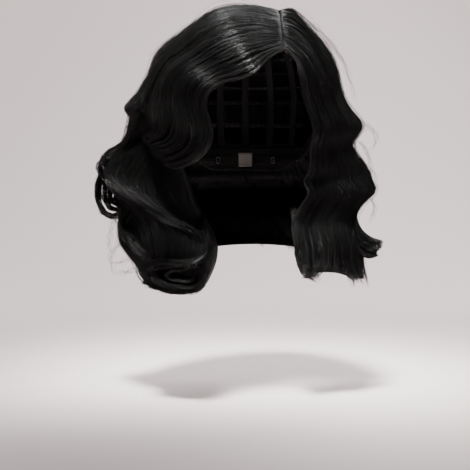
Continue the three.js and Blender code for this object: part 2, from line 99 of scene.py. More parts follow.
# Each strand runs over the hair's outer surface from root to tip, in millimetres, through the
# bends of the finger waves. Points with the same place in the list lie on the same wave.
STRANDS = {
    "fringe": [
        (36, -79, 43), (23, -91, 36), (8, -102, 21), (-8, -104, 15), (-23, -102, 12),
        (-35, -98, 3), (-39, -96, -10), (-35, -95, -24), (-33, -96, -37), (-38, -95, -50),
        (-49, -90, -60), (-64, -80, -67), (-79, -62, -66), (-90, -44, -58)],
    "brow": [
        (36, -72, 52), (19, -85, 47), (1, -96, 40), (-17, -99, 32), (-36, -97, 25),
        (-49, -95, 14), (-55, -92, 1), (-54, -92, -15), (-51, -94, -29), (-53, -93, -41),
        (-63, -87, -51), (-78, -76, -56), (-90, -57, -54), (-97, -40, -44)],
    "temple_wave": [
        (36, -64, 59.5), (14, -77, 60), (-6, -86, 54), (-27, -89, 47), (-46, -87, 37),
        (-61, -82, 24), (-71, -80, 10), (-74, -80, -5), (-71, -83, -19), (-70, -83, -30),
        (-76, -78, -40), (-89, -68, -45), (-97, -50, -41), (-100, -36, -34)],
    "side_wave": [
        (36, -50, 69.5), (10, -61, 72), (-16, -70, 69), (-39, -71, 59), (-59, -65, 48),
        (-76, -57, 34), (-87, -52, 17), (-94, -51, 1), (-96, -52, -11), (-94, -52, -20),
        (-92, -51, -29), (-96, -46, -35), (-101, -36, -37), (-104, -27, -36)],
    "crest_front": [
        (36, -48, 70.5), (10, -59, 73), (-16, -67, 71), (-39, -68, 61), (-60, -62, 49),
        (-77, -54, 34), (-88, -49, 17), (-95, -48, 1), (-99, -50, -9), (-99, -48, -14),
        (-101, -46, -18), (-104, -44, -25), (-108, -40, -33), (-114, -33, -43)],
    "crest_middle": [
        (36, -32, 78.5), (9, -36, 85), (-22, -38, 82), (-49, -38, 68), (-72, -36, 51),
        (-87, -34, 32), (-98, -32, 12), (-106, -32, -3), (-109, -33, -10), (-111, -30, -18),
        (-112, -28, -27), (-114, -25, -36), (-120, -20, -45), (-127, -14, -52)],
    "crest_rear": [
        (36, -9, 86), (7, -6, 91), (-29, -3, 86), (-59, -3, 68), (-84, -4, 48),
        (-96, -4, 25), (-110, -6, 3), (-119, -9, -7), (-119, -11, -13), (-114, -11, -22),
        (-114, -9, -31), (-120, -6, -40), (-129, -2, -48), (-138, 1, -55)],
    "left": [
        (35, -5, 88), (6, -3, 91), (-31, 0, 85), (-62, 0, 68), (-88, 0, 46),
        (-98, 0, 20), (-114, 0, -6), (-114, 0, -24), (-125, 4, -48), (-130, 8, -66),
        (-122, 10, -96), (-130, 5, -130), (-112, 0, -164), (-95, -4, -183)],
    "left_tuck": [
        (33, -20, 81), (8, -22, 84), (-29, -22, 80), (-58, -22, 63), (-82, -22, 42),
        (-92, -22, 18), (-104, -22, -4), (-107, -20, -22), (-115, -16, -46), (-120, -12, -64),
        (-115, -14, -94), (-116, -16, -128), (-100, -18, -158), (-88, -20, -178)],
    "right": [
        (32, -8, 88), (46, -5, 87.5), (61, 0, 73), (75, 0, 58), (86, 0, 41),
        (94, 0, 17), (103, 0, -6), (113, 0, -27), (108, 0, -43), (120, 4, -66),
        (130, 5, -82), (113, 5, -112), (116, 0, -150), (125, -5, -192)],
    "right_wave": [
        (32, -38, 77), (45, -36, 74), (61, -33, 62), (72, -33, 45), (82, -30, 28),
        (88, -27, 8), (95, -23, -13), (102, -20, -31), (100, -17, -48), (109, -13, -68),
        (116, -12, -86), (103, -13, -113), (102, -17, -146), (110, -20, -190)],
    "right_front": [
        (32, -65, 59), (45, -65, 52), (58, -63, 40), (67, -60, 26), (75, -52, 10),
        (80, -46, -6), (85, -40, -23), (89, -36, -37), (88, -30, -53), (94, -26, -71),
        (98, -24, -89), (88, -26, -113), (86, -30, -141), (88, -34, -184)],
    "right_temple": [
        (32, -78, 46), (40, -79, 40), (46, -81, 33), (49, -84, 22), (53, -83, 8),
        (58, -76, -9), (62, -70, -24), (65, -64, -39), (65, -56, -55), (62, -46, -77),
        (56, -38, -101), (48, -35, -126), (48, -36, -150), (58, -42, -180)],
    "jaw": [
        (-77, -56, -9), (-75, -55, -26), (-70, -54, -45), (-65, -53, -64), (-60, -50, -81),
        (-55, -47, -98), (-48, -46, -113), (-40, -49, -129), (-35, -54, -143),
        (-34, -58, -156), (-37, -59, -168), (-44, -57, -179), (-53, -53, -186),
        (-66, -46, -190), (-82, -36, -187)],
    "cheek": [
        (-83, -44, -12), (-82, -44, -27), (-88, -45, -44), (-97, -43, -62), (-104, -42, -77),
        (-101, -45, -91), (-88, -50, -104), (-72, -55, -116), (-59, -60, -130),
        (-53, -62, -145), (-55, -61, -159), (-62, -57, -172), (-73, -51, -181),
        (-87, -43, -185), (-101, -32, -180)],
    "ear": [
        (-98, -32, -4), (-101, -30, -20), (-108, -28, -38), (-121, -26, -54),
        (-131, -24, -66), (-129, -27, -80), (-118, -34, -92), (-104, -42, -104),
        (-90, -49, -119), (-81, -52, -136), (-79, -50, -153), (-87, -41, -172),
        (-93, -35, -180), (-99, -28, -181), (-101, -20, -176)],
    "side_curl": [
        (-104, -14, -2), (-108, -14, -20), (-118, -8, -38), (-127, -3, -50), (-131, 0, -65),
        (-122, 0, -84), (-121, -1, -104), (-128, -2, -122), (-125, -4, -138), (-117, -6, -153),
        (-110, -8, -165), (-105, -9, -173), (-100, -8, -179), (-98, -6, -181),
        (-99, -2, -178)],
}
BACK_DEPTHS = [12, 28, 54, 82, 102, 113, 120, 126, 118, 123, 125, 114, 100, 84]
BACK_RISE = [0] * 11 + [8, 19, 31]
LAYER_THICKNESS = [1.5, 3, 4.5, 6.5, 9, 11, 12, 12, 12, 12, 11, 10, 9, 7]
WAVE_THICKNESS = [1.5, 3, 4.5, 6, 8, 10, 11, 10, 10, 9, 8, 8, 7, 6]
CURL_THICKNESS = [4, 5, 5, 8, 12, 14, 14, 14, 14, 14, 13, 12, 10, 8, 6]
FLICK_THICKNESS = [8, 10, 12, 12, 10, 8]

# How far the hair stands out, in millimetres from root to tip, along the crests of the waves.
WAVE_RELIEF = [0, 1, 3.2, 0.5, -2.6, 1.6, 0.8, -1.0, -1.6, 0.2, -0.8, 1.8, 0.6, 0]
CREST_RELIEF = [0, 1, 3.2, 0.5, -2.2, 0.5, 0.6, 2.2, 1.6, -1.6, -1.4, 0, 0.6, 0]
CURL_RELIEF = [0, -2, -1, 1, 2, 3, 1, -3, -3.5, 0, 2.5, 0.5, -2.5, 2.5, 1]

# The crests and creases of the long layers: height in millimetres, depth and reach of each.
LAYER_RELIEF = [(2, -2.2, 11), (-26, 3.2, 11), (-50, -2.2, 10),
                (-80, -4.4, 6.5), (-93, 4.8, 8), (-122, -2.4, 10), (-146, 2.5, 10)]

# Loose ring-like curls that stand off the side of the wearer's right cheek.
RINGS = [
    [(-108, -8, -28), (-117, -4, -37), (-130, -1, -47), (-142, 1, -54), (-148, 2, -63),
     (-148, 1, -73), (-142, -2, -82), (-132, -9, -90), (-119, -18, -97), (-103, -30, -106)],
    [(-126, -1, -60), (-140, 2, -68), (-148, 3, -79), (-151, 3, -92), (-149, 2, -104),
     (-143, 0, -113), (-134, -3, -115), (-125, -7, -111), (-118, -12, -104)],
    [(-132, 0, -70), (-142, 2, -80), (-145, 2, -93), (-140, 1, -105), (-131, -2, -110),
     (-121, -6, -107), (-115, -10, -99), (-113, -12, -91)],
    [(-128, -2, -78), (-137, 1, -87), (-138, 1, -96), (-132, -1, -104), (-124, -5, -104),
     (-118, -9, -97), (-117, -10, -90)],
    [(-118, -4, -48), (-133, 0, -56), (-142, 1, -64), (-143, 1, -73), (-135, -4, -83),
     (-122, -12, -92), (-108, -22, -101)],
    [(-129, 0, -66), (-142, 3, -74), (-150, 4, -86), (-150, 3, -98), (-146, 1, -109),
     (-138, -2, -117), (-128, -6, -117)],
    [(-122, -3, -84), (-131, 0, -92), (-131, -1, -99), (-126, -4, -101), (-121, -8, -96)],
]
RING_REACH = np.array([3, 16, -1]) * MM
CURL_REACH = np.array([0, 7, 0]) * MM

# Curls that lie over the others: number of fibres, how far the tresses wave in millimetres,
# and a pair of guides.
CURLS = {
    "front_crest_lock_fall": (260, 1.4, [
        [(-76, -38, 22), (-91, -50, 4), (-98, -53, -8), (-101, -50, -20), (-106, -45, -32),
         (-113, -37, -44), (-121, -27, -54)],
        [(-79, -30, 22), (-96, -41, 4), (-105, -43, -8), (-108, -40, -20), (-112, -36, -32),
         (-120, -27, -44), (-130, -17, -53)]]),
    "cheek_curl_lock_band": (340, 2.6, [
        [(-132, -8, -48), (-145, -4, -58), (-144, -5, -72), (-134, -12, -84), (-120, -24, -94),
         (-103, -38, -104), (-84, -50, -113), (-62, -58, -120), (-42, -58, -127)],
        [(-128, -12, -56), (-138, -8, -68), (-133, -12, -82), (-120, -22, -94), (-106, -34, -104),
         (-90, -44, -112), (-72, -54, -120), (-54, -60, -128), (-40, -58, -140)]]),
    "ear_curl_lock_fall": (260, 2.6, [
        [(-116, -22, -84), (-128, -16, -98), (-130, -12, -114), (-122, -14, -130),
         (-110, -22, -143), (-98, -34, -150), (-84, -46, -156), (-68, -56, -160)],
        [(-104, -30, -92), (-116, -24, -106), (-120, -18, -122), (-114, -18, -138),
         (-102, -26, -150), (-88, -38, -158), (-74, -50, -164), (-60, -58, -168)]]),
    "jaw_curl_lock_roll": (360, 1.0, [
        [(-40, -50, -108), (-35, -55, -130), (-38, -60, -146), (-54, -64, -152),
         (-78, -61, -153), (-100, -47, -157), (-109, -40, -166), (-103, -42, -177),
         (-84, -51, -182), (-64, -57, -187), (-48, -59, -187), (-38, -59, -178),
         (-36, -57, -167)],
        [(-46, -50, -118), (-40, -57, -140), (-43, -63, -154), (-56, -67, -159),
         (-75, -65, -160), (-90, -58, -163), (-96, -53, -168), (-91, -54, -174),
         (-77, -60, -177), (-63, -64, -181), (-51, -65, -181), (-43, -64, -175),
         (-42, -62, -168)]]),
    "jaw_curl_lock_inner_roll": (110, 0.7, [
        [(-44, -68, -160), (-58, -70, -163), (-72, -68, -165), (-77, -66, -169),
         (-73, -66, -173), (-63, -67, -176), (-53, -67, -175), (-48, -66, -170)],
        [(-48, -60, -162), (-60, -62, -165), (-71, -61, -166), (-75, -59, -169),
         (-71, -59, -172), (-62, -60, -174), (-54, -60, -173), (-50, -59, -169)]]),
    "left_face_lock_tuft": (110, 0.9, [
        [(81, -16, -106), (84, -31, -138), (83, -35, -156), (76, -40, -170), (64, -44, -177)],
        [(68, -20, -110), (70, -35, -142), (70, -39, -158), (64, -44, -170), (54, -47, -173)]]),
    "left_side_lock_tuft": (120, 1.4, [
        [(103, -3, -106), (106, -16, -138), (104, -19, -156), (110, -22, -172),
         (122, -23, -181)],
        [(89, -8, -110), (92, -22, -142), (92, -26, -158), (98, -29, -170), (108, -30, -180)]]),
    "left_temple_lock_tuft": (110, 0.9, [
        [(56, -25, -106), (58, -40, -138), (58, -43, -154), (66, -46, -166), (78, -45, -174)],
        [(46, -25, -108), (49, -40, -140), (50, -43, -156), (56, -47, -168), (68, -47, -178)]]),
}

# The blunt tuft on the wearer's left: its upper and lower edges.
FLICK_UPPER = [(118, -2, -86), (112, -5, -102), (111, -8, -117), (116, -10, -129),
               (126, -11, -137), (138, -11, -140)]
FLICK_LOWER = [(104, -2, -100), (103, -6, -117), (104, -9, -135), (109, -10, -150),
               (121, -11, -158), (134, -11, -155)]

# Thin loose hairs beside the curls and along the outline.
LOOSE_ENDS = [
    [(-128, 4, -112), (-136, 4, -128), (-139, 3, -141), (-135, 2, -153), (-128, 1, -158)],
    [(-118, 2, -135), (-131, 3, -147), (-137, 3, -160), (-133, 2, -172), (-124, 1, -176)],
    [(-110, 0, -150), (-122, 2, -160), (-133, 3, -163), (-139, 3, -158)],
    [(-106, -2, -160), (-117, 1, -170), (-127, 2, -173), (-134, 3, -169)],
    [(106, 0, -20), (118, 0, -24), (128, -1, -34), (127, -1, -46), (119, 0, -52)],
    [(112, 0, -40), (121, 1, -52), (124, 1, -66), (131, 2, -78), (133, 2, -92)],
    [(118, 2, -90), (128, 1, -104), (126, 0, -118), (121, 0, -126)],
    [(78, 0, 60), (91, 0, 46), (100, 0, 28), (106, 0, 8), (110, 0, -8)],
    [(60, 0, 78), (75, 0, 67), (87, 0, 52), (96, 0, 33)],
]
LOOSE_REACH = np.array([2, 8, -2]) * MM


def metres(points):
    return np.array(points, float) * MM


for name in STRANDS:
    STRANDS[name] = metres(STRANDS[name])


def back_strand(angle):
    """A strand round the back, on the half ellipse through the right and left strands."""
    share = (1 - math.cos(math.radians(angle))) / 2
    reach = math.sin(math.radians(angle))
    points = STRANDS["right"] * (1 - share) + STRANDS["left"] * share
    points[:, 1] += metres(BACK_DEPTHS) * reach
    points[:, 2] += metres(BACK_RISE) * reach
    return points


# ---- shared maths

def spline(points, places):
    """Centripetal Catmull-Rom curves through points[n, k, 3], at places from 0 to 1."""
    first = 2 * points[:1] - points[1:2]
    last = 2 * points[-1:] - points[-2:-1]
    chain = np.concatenate([first, points, last])
    scaled = np.clip(places, 0, 1) * (len(points) - 1)
    index = np.minimum(scaled.astype(int), len(points) - 2)
    t = (scaled - index)[:, None, None]
    p0, p1, p2, p3 = (chain[index + step] for step in range(4))

    def gap(a, b):
        return np.maximum(np.linalg.norm(b - a, axis=2, keepdims=True) ** 0.5, 1e-4)

    d0, d1, d2 = gap(p0, p1), gap(p1, p2), gap(p2, p3)
    out = ((p1 - p0) / d0 - (p2 - p0) / (d0 + d1) + (p2 - p1) / d1) * d1
    back = ((p2 - p1) / d1 - (p3 - p1) / (d1 + d2) + (p3 - p2) / d2) * d1
    square = -3 * p1 + 3 * p2 - 2 * out - back
    cube = 2 * p1 - 2 * p2 + out + back
    return p1 + out * t + square * t ** 2 + cube * t ** 3


def unit(vectors):
    return vectors / np.maximum(np.linalg.norm(vectors, axis=-1, keepdims=True), 1e-9)


def inward(points):
    """The direction from each point to the middle of the head, level below the brow."""
    centre = np.zeros_like(points)
    centre[..., 1] = HAIR_CENTRE_Y
    centre[..., 2] = np.minimum(points[..., 2], 0)
    return unit(centre - points)


def wander(rng, count, places, knots, size):
    """Smooth random curves: count rows over the given places, about size high."""
    heights = np.zeros((knots, count, 3))
    heights[..., 0] = rng.normal(0, size, (knots, count))
    heights[..., 1] = np.arange(knots)[:, None] * size * 3
    return spline(heights, places)[:, :, 0].T


def smooth_list(values, places):
    """A smooth curve through evenly spaced values."""
    points = np.zeros((len(values), 1, 3))
    points[:, 0, 0] = values
    points[:, 0, 1] = np.arange(len(values)) * 4
    return spline(points, places)[:, 0, 0]


def layer_relief(heights):
    """How far the long layers stand out at the given heights."""
    total = np.zeros_like(heights)
    for height, out, reach in LAYER_RELIEF:
        total += out * MM * np.exp(-((heights - height * MM) / (reach * MM)) ** 2)
    return total


class Sheet:
    """A sheet of hair through neighbouring strands, looked up by (across, along, depth)."""

    def __init__(self, strands, thickness, fullness, relief=None, facing=None):
        points = np.stack([STRANDS[s] if isinstance(s, str) else s for s in strands], axis=1)
        steps = np.linspace(0, 1, SHEET_ROWS)
        along = spline(points, steps).transpose(1, 0, 2)
        self.width = len(strands) - 1
        columns = self.width * COLUMNS_PER_STRAND + 1
        self.surface = spline(along, np.linspace(0, 1, columns))
        self.inward = inward(self.surface)
        if facing is not None:
            self.inward[:] = facing
        if relief is None:
            shown = np.interp(steps, [0, 0.3, 0.97, 1], [0, 1, 1, 0.3])
            lift = layer_relief(self.surface[..., 2]) * shown
        else:
            lift = np.broadcast_to(smooth_list(relief, steps) * MM, self.surface.shape[:2])
        self.surface = self.surface - self.inward * lift[..., None]
        thick = np.interp(steps, np.linspace(0, 1, len(thickness)), thickness) * MM
        full = np.interp(np.linspace(0, self.width, columns), range(len(fullness)), fullness)
        self.thick = full[:, None] * thick[None, :]

    def look_up(self, grid, across, along):
        columns, rows = grid.shape[0] - 1, grid.shape[1] - 1
        x = np.clip(across / self.width, 0, 1) * columns
        y = np.clip(along, 0, 1) * rows
        i = np.minimum(x.astype(int), columns - 1)
        j = np.minimum(y.astype(int), rows - 1)
        s, t = x - i, y - j
        if grid.ndim == 3:
            s, t = s[..., None], t[..., None]
        low = grid[i, j] * (1 - s) + grid[i + 1, j] * s
        high = grid[i, j + 1] * (1 - s) + grid[i + 1, j + 1] * s
        return low * (1 - t) + high * t

    def point(self, across, along, depth):
        place = self.look_up(self.surface, across, along)
        direction = self.look_up(self.inward, across, along)
        return place + direction * depth[..., None]

    def depth(self, across, along):
        return self.look_up(self.thick, across, along)


# ---- mesh building

def link_object(name, data):
    obj = bpy.data.objects.new(name, data)
    bpy.context.scene.collection.objects.link(obj)
    return obj


def make_mesh(name, verts, face_groups, material, uv_groups=None, tints=None):
    """A mesh object. Each face group is an array of faces with the same number of corners."""
    mesh = bpy.data.meshes.new(name)
    mesh.vertices.add(len(verts))
    mesh.vertices.foreach_set("co", np.asarray(verts, np.float32).ravel())
    corners = np.concatenate([group.ravel() for group in face_groups]).astype(np.int32)
    sizes = np.concatenate([np.full(len(group), group.shape[1]) for group in face_groups])
    mesh.loops.add(len(corners))
    mesh.loops.foreach_set("vertex_index", corners)
    mesh.polygons.add(len(sizes))
    starts = np.concatenate([[0], np.cumsum(sizes)[:-1]]).astype(np.int32)
    mesh.polygons.foreach_set("loop_start", starts)
    mesh.polygons.foreach_set("loop_total", sizes.astype(np.int32))
    mesh.polygons.foreach_set("use_smooth", np.full(len(sizes), True))
    if uv_groups is not None:
        layer = mesh.uv_layers.new(name="OFBake")
        flat = np.concatenate([group.reshape(-1, 2) for group in uv_groups])
        layer.data.foreach_set("uv", flat.astype(np.float32).ravel())
    if tints is not None:
        attribute = mesh.attributes.new("tint", "FLOAT", "POINT")
        attribute.data.foreach_set("value", np.asarray(tints, np.float32).ravel())
    mesh.update()
    mesh.materials.append(material)
    return link_object(name, mesh)


def face_uv(corners):
    """The UVs of an array of faces, from one (u, v) pair of arrays for each corner."""
    return np.stack([np.stack(np.broadcast_arrays(u, v), -1) for u, v in corners], axis=-2)


def tube_mesh(name, paths, radii, facing, material, tints=None, sides=3):
    """Many thin closed tubes in one mesh. paths[m, k, 3], radii[m, k], facing[m, k, 3]."""
    count, steps = paths.shape[:2]
    forward = unit(np.gradient(paths, axis=1))
    side = unit(np.cross(forward, facing))
    up = np.cross(side, forward)
    angles = np.arange(sides) * 2 * math.pi / sides
    ring = (side[:, :, None] * np.cos(angles)[None, None, :, None]
            + up[:, :, None] * np.sin(angles)[None, None, :, None])
    verts = (paths[:, :, None] + ring * radii[:, :, None, None]).reshape(-1, 3)
    strand, step, corner = np.meshgrid(
        np.arange(count), np.arange(steps - 1), np.arange(sides), indexing="ij")
    here = (strand * steps + step) * sides
    following = (corner + 1) % sides
    quads = np.stack([here + corner, here + following,
                      here + sides + following, here + sides + corner], axis=-1).reshape(-1, 4)
    left = (strand + 0.1 + 0.8 * corner / sides) / count
    right = (strand + 0.1 + 0.8 * (corner + 1) / sides) / count
    low, high = step / (steps - 1), (step + 1) / (steps - 1)
    quad_uv = face_uv([(left, low), (right, low), (right, high), (left, high)])
    first = np.arange(count)[:, None] * steps * sides
    roots = first + np.arange(sides)[::-1][None, :]
    tips = first + (steps - 1) * sides + np.arange(sides)[None, :]
    cap_uv = np.zeros((2, count, sides, 2))
    cap_uv[..., 0] = (np.arange(count)[None, :, None] + 0.5) / count
    cap_uv[1, ..., 1] = 1
    if tints is not None:
        tints = np.repeat(np.broadcast_to(tints, (count, steps)).ravel(), sides)
    return make_mesh(name, verts, [quads, roots, tips], material, [quad_uv, cap_uv], tints)


def slab_mesh(name, outer, inner, material):
    """A closed slab between two grids of points[columns + 1, rows + 1, 3]."""
    columns, rows = outer.shape[0] - 1, outer.shape[1] - 1

    def at(side, i, j):
        return (side * (columns + 1) + i) * (rows + 1) + j

    i, j = (grid.ravel() for grid in np.meshgrid(np.arange(columns), np.arange(rows),
                                                 indexing="ij"))
    groups, uvs = [], []
    for side, order in enumerate([[(0, 0), (1, 0), (1, 1), (0, 1)],
                                  [(0, 0), (0, 1), (1, 1), (1, 0)]]):
        groups.append(np.stack([at(side, i + a, j + b) for a, b in order], -1))
        uvs.append(face_uv([(0.5 * side + 0.48 * (i + a) / columns, (j + b) / rows)
                            for a, b in order]))
    c, r = np.arange(columns), np.arange(rows)
    walls = [(at(0, c + 1, 0), at(0, c, 0), at(1, c, 0), at(1, c + 1, 0)),
             (at(0, c, rows), at(0, c + 1, rows), at(1, c + 1, rows), at(1, c, rows)),
             (at(0, 0, r), at(0, 0, r + 1), at(1, 0, r + 1), at(1, 0, r)),
             (at(0, columns, r + 1), at(0, columns, r), at(1, columns, r), at(1, columns, r + 1))]
    for wall in walls:
        groups.append(np.stack(wall, -1))
        line = np.linspace(0, 1, len(wall[0]) + 1)
        low, high = line[:-1], line[1:]
        uvs.append(face_uv([(0.985, low), (0.985, high), (0.995, high), (0.995, low)]))
    a, b, d = outer[:-1, :-1], outer[1:, :-1], outer[:-1, 1:]
    facing = np.einsum("ijk,ijk->", np.cross(b - a, d - a), (outer - inner)[:-1, :-1])
    if facing < 0:
        groups = [group[:, ::-1] for group in groups]
        uvs = [group[:, ::-1] for group in uvs]
    verts = np.concatenate([outer.reshape(-1, 3), inner.reshape(-1, 3)])
    return make_mesh(name, verts, groups, material, uvs)


# ---- materials

def add_node(tree, kind, **values):
    """A shader node with the given socket values, keyed by socket name."""
    node = tree.nodes.new(kind)
    for socket, value in values.items():
        node.inputs[socket.replace("_", " ")].default_value = value
    return node


def node_material(name, base, roughness, metallic=0.0, specular=0.5, ior=1.45):
    material = bpy.data.materials.new(name)
    material.use_nodes = True
    shader = material.node_tree.nodes["Principled BSDF"]
    for socket, value in (("Base Color", (*base, 1)), ("Roughness", roughness),
                          ("Metallic", metallic), ("Specular IOR Level", specular), ("IOR", ior)):
        shader.inputs[socket].default_value = value
    return material, material.node_tree, shader


def colour_ramp(tree, source, dark, light, low=0.0, high=1.0):
    ramp = tree.nodes.new("ShaderNodeValToRGB")
    for stop, colour, place in zip(ramp.color_ramp.elements, (dark, light), (low, high)):
        stop.color = (*colour, 1)
        stop.position = place
    tree.links.new(source, ramp.inputs["Fac"])
    return ramp.outputs["Color"]


def span(tree, source, low, high):
    node = add_node(tree, "ShaderNodeMapRange", To_Min=low, To_Max=high)
    tree.links.new(source, node.inputs["Value"])
    return node.outputs["Result"]


def piece_uv(tree, scale):
    """The piece's UV coordinates, plain and multiplied by the scale."""
    uv = tree.nodes.new("ShaderNodeUVMap")
    uv.uv_map = "OFBake"
    mapping = tree.nodes.new("ShaderNodeMapping")
    mapping.inputs["Scale"].default_value = (*scale, 1)
    tree.links.new(uv.outputs["UV"], mapping.inputs["Vector"])
    return uv.outputs["UV"], mapping.outputs["Vector"]


def noise_at(tree, place, scale, detail):
    noise = add_node(tree, "ShaderNodeTexNoise", Scale=scale, Detail=detail)
    tree.links.new(place, noise.inputs["Vector"])
    return noise.outputs["Fac"]


def maths(tree, operation, *inputs):
    node = tree.nodes.new("ShaderNodeMath")
    node.operation = operation
    for index, value in enumerate(inputs):
        if isinstance(value, float):
            node.inputs[index].default_value = value
        else:
            tree.links.new(value, node.inputs[index])
    return node.outputs[0]


def dress(tree, shader, colour, gloss, height=None, bump=0.0, depth=0.0):
    """Links a material's colour and roughness, and its bump where there is one."""
    tree.links.new(colour, shader.inputs["Base Color"])
    tree.links.new(gloss, shader.inputs["Roughness"])
    if height:
        relief = add_node(tree, "ShaderNodeBump", Strength=bump, Distance=depth)
        tree.links.new(height, relief.inputs["Height"])
        tree.links.new(relief.outputs["Normal"], shader.inputs["Normal"])


def hair_material():
    """Near-black synthetic fibre: tint and gloss change slightly from strand to strand."""
    material, tree, shader = node_material("hair_fibre", (0.01, 0.009, 0.008), 0.36, ior=1.29)
    attribute = tree.nodes.new("ShaderNodeAttribute")
    attribute.attribute_name = "tint"
    tint = attribute.outputs["Fac"]
    colour = colour_ramp(tree, tint, (0.001, 0.001, 0.001), (0.0085, 0.0078, 0.0072))
    dress(tree, shader, colour, span(tree, tint, 0.30, 0.48))
    return material


def core_material():
    """The packed fibres below the loose ones: streaks that run along the lock."""
    material, tree, shader = node_material("hair_core", (0.004, 0.004, 0.004), 0.6,
                                           specular=0.3, ior=1.36)
    noise = noise_at(tree, piece_uv(tree, (260, 5))[1], 1.0, 3.0)
    colour = colour_ramp(tree, noise, (0.0015, 0.0014, 0.0014), (0.008, 0.007, 0.0065), 0.35, 0.7)
    dress(tree, shader, colour, span(tree, noise, 0.45, 0.75), noise, 0.5, 0.4 * MM)
    return material


def woven_material(name, dark, light, threads, roughness, bump=0.5):
    """Crossed threads, slightly uneven. threads is how many cross the piece each way."""
    material, tree, shader = node_material(name, light, roughness, ior=1.4)
    uv, scaled = piece_uv(tree, threads)
    waves = []
    for direction in ("X", "Y"):
        wave = add_node(tree, "ShaderNodeTexWave", Scale=0.314, Distortion=0.5, Detail=1.0)
        wave.bands_direction = direction
        tree.links.new(scaled, wave.inputs["Vector"])
        waves.append(wave.outputs["Fac"])
    noise = noise_at(tree, uv, 9.0, 5.0)
    wear = maths(tree, "MULTIPLY_ADD", maths(tree, "MULTIPLY", *waves), 0.6,
                 span(tree, noise, -0.1, 0.5))
    dress(tree, shader, colour_ramp(tree, wear, dark, light, 0.05, 0.85),
          span(tree, noise, roughness - 0.08, roughness + 0.08), wear, bump, 0.2 * MM)
    return material


def streaked_material(name, dark, light, scale, roughness, metallic=0.0, bump=0.15):
    """Fine streaks or mottling: brushed wire, coated steel, or the skin-coloured film."""
    material, tree, shader = node_material(name, light, roughness, metallic=metallic, ior=1.5)
    noise = noise_at(tree, piece_uv(tree, scale)[1], 1.0, 6.0)
    dress(tree, shader, colour_ramp(tree, noise, dark, light, 0.3, 0.7),
          span(tree, noise, roughness - 0.1, roughness + 0.1), noise, bump, 0.1 * MM)
    return material


HAIR = hair_material()
HAIR_CORE = core_material()
LACE = woven_material("lace_net", (0.004, 0.004, 0.004), (0.018, 0.017, 0.016), (240, 240), 0.85)
NET_THREAD = woven_material("net_thread", (0.008, 0.008, 0.008), (0.03, 0.028, 0.027),
                            (1, 90), 0.75)
BAND = woven_material("knit_band", (0.006, 0.006, 0.006), (0.026, 0.025, 0.024), (24, 700), 0.88)
RIBBON = woven_material("woven_ribbon", (0.008, 0.008, 0.008), (0.034, 0.032, 0.031),
                        (60, 500), 0.7)
ELASTIC = woven_material("ribbed_elastic", (0.007, 0.007, 0.007), (0.034, 0.032, 0.03),
                         (36, 420), 0.8, bump=0.8)
THREAD = woven_material("sewing_thread", (0.008, 0.008, 0.008), (0.04, 0.038, 0.036),
                        (1, 24), 0.6)
LABEL = woven_material("label_tape", (0.42, 0.40, 0.36), (0.66, 0.64, 0.59), (90, 110), 0.85)
SKIN = streaked_material("parting_film", (0.40, 0.25, 0.17), (0.56, 0.36, 0.25), (60, 400), 0.6)
STEEL = streaked_material("steel_wire", (0.42, 0.43, 0.45), (0.62, 0.63, 0.65), (2, 60), 0.3,
                          metallic=1.0)
COATED = streaked_material("coated_steel", (0.02, 0.02, 0.021), (0.05, 0.05, 0.052), (8, 60),
                           0.42, bump=0.3)


def attach(obj, node, body="cap"):
    """The piece rides on the body and stands for the CAD node, which is hidden."""
    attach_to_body(obj, body)
    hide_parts(node)


# ---- hair

def piece_rng(name):
    return np.random.default_rng(SEED + sum(map(ord, name)))


def lock_core(name, sheet, start, end, rng, core_end, columns=28, rows=96):
    """The packed fibres under a lock's surface: a closed body with grooves along the flow."""
    across, along = np.broadcast_arrays(np.linspace(start, end, columns + 1)[:, None],
                                        np.linspace(0.01, core_end, rows + 1)[None, :])
    ripple = wander(rng, 3, np.linspace(0, 1, columns + 1), columns // 2, 1.0)
    slow = wander(rng, 3, np.linspace(0, 1, rows + 1), 6, 1.0)
    pattern = np.einsum("nc,nr->cr", ripple, slow) * 0.5
    full = sheet.depth(across, along)
    border = np.minimum(across, sheet.width - across) / 0.2
    shoulder = np.clip(1 - border, 0, 1) ** 2 * 3 * MM
    top = np.minimum(CORE_DEPTH + 0.5 * MM * pattern + shoulder, full * 0.5)
    taper = np.clip((core_end - along) * 12, 0, 1) ** 0.6
    middle = full * 0.5
    outer = sheet.point(across, along, middle - (middle - top) * taper)
    inner = sheet.point(across, along, middle + (full * 0.85 - middle) * taper + 0.2 * MM)
    return slab_mesh(name + "_core", outer, inner, HAIR_CORE)


